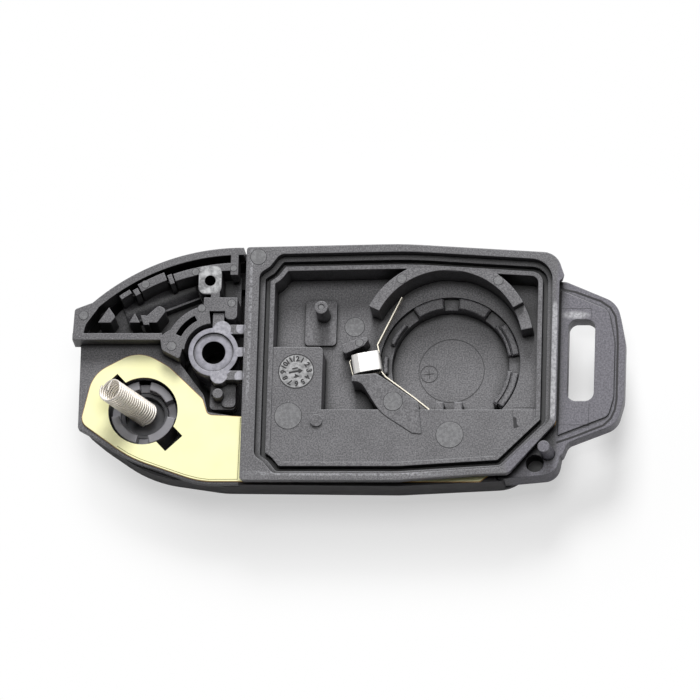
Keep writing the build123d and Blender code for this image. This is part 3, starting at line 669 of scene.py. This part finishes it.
def turnedWheel(sizes):
    # the rim, the pale face, and the numbers with the arrow
    x, y = sizes["middle"]
    level = sizes["level"]
    low = level - sizes["sunk"]
    high = level + sizes["numberHeight"]
    work = bmesh.new()
    rimPath = roundPath(x, y, sizes["rimRadius"])
    stripPrism(work, rimPath, sizes["rimWidth"], low, level + sizes["rimHeight"], closed=True)
    rim = newPiece("wheelRim", work)
    work = bmesh.new()
    platePrism(work, roundPath(x, y, sizes["radius"]), low, level + sizes["faceHeight"])
    face = newPiece("wheelFace", work)
    work = bmesh.new()
    for number in range(1, 13):
        angle = sizes["first"] - 30.0 * (number - 1)
        placeX = x + sizes["numberRing"] * cos(radians(angle))
        placeY = y + sizes["numberRing"] * sin(radians(angle))
        letters(work, str(number), sizes["numberSize"], placeX, placeY, angle - 90.0, level, high)
    for text, offX, offY in sizes["inner"]:
        letters(work, text, sizes["numberSize"], x + offX, y + offY, sizes["innerTurn"], level, high)
    platePrism(work, [(x + i, y + j) for i, j in sizes["arrow"]], level, high)
    return rim, face, newPiece("wheelNumbers", work)


for piece, look in zip(turnedWheel(dateWheel), (darkLine, wheelFace, wheelPrint)):
    settle(piece, "body", look, "tray_plastic")
print("stage: date wheel")


raisedMarks = {
    "floorRing": (0.15, -1.75, 4.4),  # x, y and radius, as for the sign and the button
    "signRing": (-2.85, -2.2, 1.15),
    "ringSides": 96,
    "plusArm": 0.62,
    "plusTurn": 96.0,
    "plusWidth": 0.12,
    "lineWidth": 0.1,
    "recess": 2.4,
    "rise": 0.05,
    "sunk": 0.02,
    "button": (-17.1, -10.9, 0.85),
    "buttonSides": 40,
    "buttonRise": 0.28,
    "keys": [-1.15, 1.35],
    "keyEnds": (-9.3, -6.85),
    "keyWidth": 0.9,
    "keyTop": 4.85,
    "platform": 9.6,
}


def floorMarks(sizes):
    # the thin circle and the plus sign on the recess floor; the round button and the two keys
    work = bmesh.new()
    low = sizes["recess"] - sizes["sunk"]
    high = sizes["recess"] + sizes["rise"]
    for x, y, radius in (sizes["floorRing"], sizes["signRing"]):
        ring = roundPath(x, y, radius, sizes["ringSides"])
        stripPrism(work, ring, sizes["lineWidth"], low, high, closed=True)
    x, y = sizes["signRing"][:2]
    for turn in (sizes["plusTurn"], sizes["plusTurn"] + 90.0):
        stepX = sizes["plusArm"] * cos(radians(turn))
        stepY = sizes["plusArm"] * sin(radians(turn))
        bar = [(x - stepX, y - stepY), (x + stepX, y + stepY)]
        stripPrism(work, bar, sizes["plusWidth"], low, high)
    lines = newPiece("recessMarks", work)
    work = bmesh.new()
    x, y, radius = sizes["button"]
    low = sizes["platform"] - sizes["sunk"]
    high = sizes["platform"] + sizes["buttonRise"]
    platePrism(work, roundPath(x, y, radius, sizes["buttonSides"]), low, high)
    for keyX in sizes["keys"]:
        key = [(keyX, keyY) for keyY in sizes["keyEnds"]]
        stripPrism(work, key, sizes["keyWidth"], sizes["recess"], sizes["keyTop"])
    return lines, newPiece("platformButton", work)


for piece, look in zip(floorMarks(raisedMarks), (faintLine, trayPlastic)):
    settle(piece, "body", look, "tray_plastic")


darkLinesAndShade = {
    "deck": 8.6,
    "plate": 8.85,
    "platform": 9.6,
    "sunk": 0.02,
    "rise": 0.012,
    "thin": 0.05,
    "lipWidth": 0.28,
    # the lip strip lies beside the raised plate's edge: partly its step line, partly painted shadow
    "lip": [
        (15.0, 8.1), (15.6, 7.7), (17.0, 7.4), (20.5, 6.1), (21.8, 5.2), (22.5, 4.0), (22.8, 2.0),
        (22.9, 0.0), (22.9, -7.6), (22.7, -9.0), (22.2, -10.2), (21.2, -11.2), (17.5, -12.7), (15.0, -13.6),
    ],
    "panels": [
        [(15.3, 5.0), (19.25, 5.0), (19.25, 3.7)],
        [(15.3, -11.2), (19.25, -11.2), (19.25, -8.2)],
    ],
    "notchLine": [(9.2, -10.3), (9.2, -9.05), (11.9, -9.0), (11.9, -11.4)],
    # the notch is a dark plate of painted shade over a small pocket
    "notch": [(9.2, -10.3), (9.7, -10.45), (9.75, -11.3), (10.05, -11.7), (9.35, -11.95)],
}


def scribed(sizes):
    # thin dark lines of the moulding: the loop's panel and the platform's notch line; the loop's lip, a dark
    # strip beside the raised plate's edge, partly its step line and partly painted shadow; and the notch, a
    # dark plate of painted shade over a small pocket
    work = bmesh.new()
    lines = [("deck", sizes["lip"], sizes["lipWidth"]), ("platform", sizes["notchLine"], sizes["thin"])]
    lines += [("plate", path, sizes["thin"]) for path in sizes["panels"]]
    for place, path, width in lines:
        stripPrism(work, path, width, sizes[place] - sizes["sunk"], sizes[place] + sizes["rise"])
    platform = sizes["platform"]
    platePrism(work, sizes["notch"], platform - sizes["sunk"], platform + sizes["rise"])
    return newPiece("darkLinesAndShade", work)


settle(scribed(darkLinesAndShade), "body", darkLine, "tray_plastic")


filmEdgeShade = {
    "low": 8.84,
    "high": 8.862,
    "width": 0.09,
    "path": [
        (-27.35, -10.25), (-27.5, -18.8), (-31.4, -18.82), (-32.9, -18.6), (-34.6, -18.14),
        (-38.0, -16.95), (-40.7, -15.96), (-42.3, -15.18), (-43.8, -14.2),
    ],
}


def pressedSeam(sizes):
    # a thin dark line just inside the film's edge, painted shade along that edge
    work = bmesh.new()
    stripPrism(work, sizes["path"], sizes["width"], sizes["low"], sizes["high"])
    return newPiece("filmEdgeShade", work)


settle(pressedSeam(filmEdgeShade), "body", seamLine, "liner_paper")


toothCaps = {
    "middle": (0.15, -1.7),
    "low": 3.8,
    "steps": 12,
    "round": 0.22,
    "caps": [  # inner and outer radius, top, start and end angle
        (7.87, 9.34, 5.2, 97.2, 122.8),
        (7.87, 9.34, 5.2, 55.7, 83.3),
        (8.45, 9.34, 5.1, 9.2, 38.8),
        (7.87, 8.38, 4.95, 9.2, 41.8),
        (8.02, 8.6, 5.1, 136.7, 159.8),
        (8.37, 8.95, 5.1, 172.2, 187.8),
        (8.42, 9.3, 5.1, -39.5, -7.0),
        (7.72, 8.36, 4.85, -40.5, -5.8),
    ],
}


def roundedTeeth(sizes):
    # the teeth's rounded caps, drawn out over the step in the recess
    x, y = sizes["middle"]
    work = bmesh.new()
    for inner, outer, top, start, end in sizes["caps"]:
        middle = (inner + outer) / 2
        path = []
        for i in range(sizes["steps"] + 1):
            angle = radians(start + (end - start) * i / sizes["steps"])
            path.append((x + middle * cos(angle), y + middle * sin(angle)))
        stripPrism(work, path, outer - inner, sizes["low"], top)
    piece = newPiece("toothCaps", work)
    edges = piece.modifiers.new("edges", "BEVEL")
    edges.width = sizes["round"] * mm
    edges.segments = 3
    edges.limit_method = "ANGLE"
    edges.angle_limit = radians(40.0)
    edges.harden_normals = True
    return piece


settle(roundedTeeth(toothCaps), "body", trayPlastic, "tray_plastic")
print("stage: raised and scribed marks")


springSizes = {
    "foot": (-40.15, -9.2, 6.45),
    "lean": (-4.4, 1.3, 8.0),
    "radius": 1.55,
    "wire": 0.14,
    "wireSides": 8,
    "length": 8.95,
    "turns": 19.3,
    "turnSteps": 30,
    "tail": [(1.44, 72.0), (0.8, 92.0), (0.25, 175.0)],  # reach and angle of the bent end, across the top
    "tailSmooth": 50.0,
}


def woundSpring(sizes):
    # the wire wound round the leaning axis, from the foot up
    board, given = geometryTree("windSpring", [
        ("Turns", "NodeSocketFloat", 20.0),
        ("Radius", "NodeSocketFloat", 0.001),
        ("Wire", "NodeSocketFloat", 0.0002),
        ("Length", "NodeSocketFloat", 0.01),
        ("Turn Steps", "NodeSocketInt", 30),
        ("Wire Sides", "NodeSocketInt", 8),
        ("Look", "NodeSocketMaterial", None),
    ])
    radius = board.wire(given, "Radius")
    spiral = board.node("GeometryNodeCurveSpiral", None, {
        "Resolution": board.wire(given, "Turn Steps"),
        "Rotations": board.wire(given, "Turns"),
        "Start Radius": radius,
        "End Radius": radius,
        "Height": board.wire(given, "Length"),
    })
    profile = board.node("GeometryNodeCurvePrimitiveCircle", None, {
        "Resolution": board.wire(given, "Wire Sides"),
        "Radius": board.wire(given, "Wire"),
    })
    wound = board.node("GeometryNodeCurveToMesh", None, {
        "Curve": board.wire(spiral),
        "Profile Curve": board.wire(profile),
        "Fill Caps": True,
    })
    whole = board.node("GeometryNodeRealizeInstances", None, {0: board.wire(wound)})
    looked = board.node("GeometryNodeSetMaterial", None, {
        "Geometry": board.wire(whole),
        "Material": board.wire(given, "Look"),
    })
    piece = growPiece("windingWire", board, board.wire(looked), bpy.data.meshes.new("empty"), {
        "Turns": sizes["turns"],
        "Radius": sizes["radius"] * mm,
        "Wire": sizes["wire"] * mm,
        "Length": sizes["length"] * mm,
        "Turn Steps": sizes["turnSteps"],
        "Wire Sides": sizes["wireSides"],
        "Look": wireLook,
    })
    turn = Vector(sizes["lean"]).normalized().to_track_quat("Z", "Y").to_matrix().to_4x4()
    piece.data.transform(Matrix.Translation(Vector(sizes["foot"]) * mm) @ turn)
    for polygon in piece.data.polygons:
        polygon.use_smooth = True
    return piece


def bentTail(sizes):
    # the wire's end, bent across the open top of the spring
    lean = Vector(sizes["lean"]).normalized()
    right = (Vector((1, 0, 0)) - lean * lean.x).normalized()
    up = lean.cross(right)
    top = Vector(sizes["foot"]) + lean * sizes["length"]
    points = []
    for reach, angle in sizes["tail"]:
        points.append(top + right * (reach * cos(radians(angle))) + up * (reach * sin(radians(angle))))
    work = bmesh.new()
    profile = roundPath(0.0, 0.0, sizes["wire"], sizes["wireSides"])
    rings = []
    for i, point in enumerate(points):
        ahead = (points[min(i + 1, len(points) - 1)] - points[max(i - 1, 0)]).normalized()
        across = ahead.cross(lean).normalized()
        rings.append([work.verts.new((point + across * x + lean * y) * mm) for x, y in profile])
    for first, second in zip(rings, rings[1:]):
        for i in range(len(profile)):
            j = (i + 1) % len(profile)
            work.faces.new((first[i], first[j], second[j], second[i]))
    work.faces.new(rings[0])
    work.faces.new(rings[-1])
    return newPiece("springTail", work, sizes["tailSmooth"])


settle(woundSpring(springSizes), "release_button", wireLook, "spring_steel", "flip_spring")
settle(bentTail(springSizes), "release_button", wireLook, "spring_steel")
print("stage: spring")


contactSizes = {
    "place": (-10.8, -2.25, 5.0),
    "turn": 9.8,
    "profile": [  # along the clip, and up from its foot
        (-1.9, 0.1), (-1.9, 2.65), (-1.82, 2.9), (-1.6, 3.1), (-1.15, 3.32),
        (-0.95, 3.4), (1.6, 3.4), (1.8, 3.33), (1.9, 3.1), (1.9, 0.1),
    ],
    "width": 2.65,
    "thickness": 0.22,
    "bevel": 0.05,
    "armThickness": 0.15,
    "armLow": 6.6,
    "armHigh": 7.6,
    "northArm": [(-9.15, -0.75), (-9.4, 0.35), (-6.3, 7.0)],
    "southArm": [(-8.75, -3.4), (-8.2, -4.1), (-4.05, -7.2), (-2.2, -8.7)],
    "lipLow": 6.4,
    "lipHigh": 7.0,
    "lipWidth": 0.1,
    "lips": [
        [(-12.95, -1.6), (-13.15, -1.85), (-12.65, -3.7), (-12.4, -3.95), (-8.8, -3.2)],
        [(-12.75, -0.35), (-12.65, 0.0), (-11.4, 0.05)],
    ],
}


def bentClip(sizes):
    # the folded plate: a rounded profile carried across the strip's width
    work = bmesh.new()
    rows = []
    for side in (-0.5, 0.5):
        rows.append([work.verts.new((x, side * sizes["width"], z)) for x, z in sizes["profile"]])
    for i in range(len(sizes["profile"]) - 1):
        work.faces.new((rows[0][i], rows[1][i], rows[1][i + 1], rows[0][i + 1]))
    bmesh.ops.recalc_face_normals(work, faces=work.faces)
    if sum(face.normal.z for face in work.faces) < 0:
        bmesh.ops.reverse_faces(work, faces=work.faces)
    mesh = bpy.data.meshes.new("contactClip")
    work.to_mesh(mesh)
    work.free()
    turn = Matrix.Rotation(radians(sizes["turn"]), 4, "Z")
    mesh.transform(Matrix.Scale(mm, 4) @ Matrix.Translation(sizes["place"]) @ turn)
    piece = bpy.data.objects.new("contactClip", mesh)
    scene.collection.objects.link(piece)
    wall = piece.modifiers.new("wall", "SOLIDIFY")
    wall.thickness = sizes["thickness"] * mm
    wall.offset = -1.0
    edges = piece.modifiers.new("edges", "BEVEL")
    edges.width = sizes["bevel"] * mm
    edges.segments = 2
    edges.angle_limit = radians(40.0)
    return piece


def thinStrips(name, paths, width, low, high):
    # upright strips of thin metal
    work = bmesh.new()
    for path in paths:
        stripPrism(work, path, width, low, high)
    return newPiece(name, work)


settle(bentClip(contactSizes), "body", clipLook, "contact_metal", "battery_contact")
arm = (contactSizes["armThickness"], contactSizes["armLow"], contactSizes["armHigh"])
lip = (contactSizes["lipWidth"], contactSizes["lipLow"], contactSizes["lipHigh"])
for piece in (
    thinStrips("contactNorthArm", [contactSizes["northArm"]], *arm),
    thinStrips("contactSouthArm", [contactSizes["southArm"]], *arm),
    thinStrips("contactLips", contactSizes["lips"], *lip),
):
    settle(piece, "body", armLook, "contact_metal")
print("stage: contact")
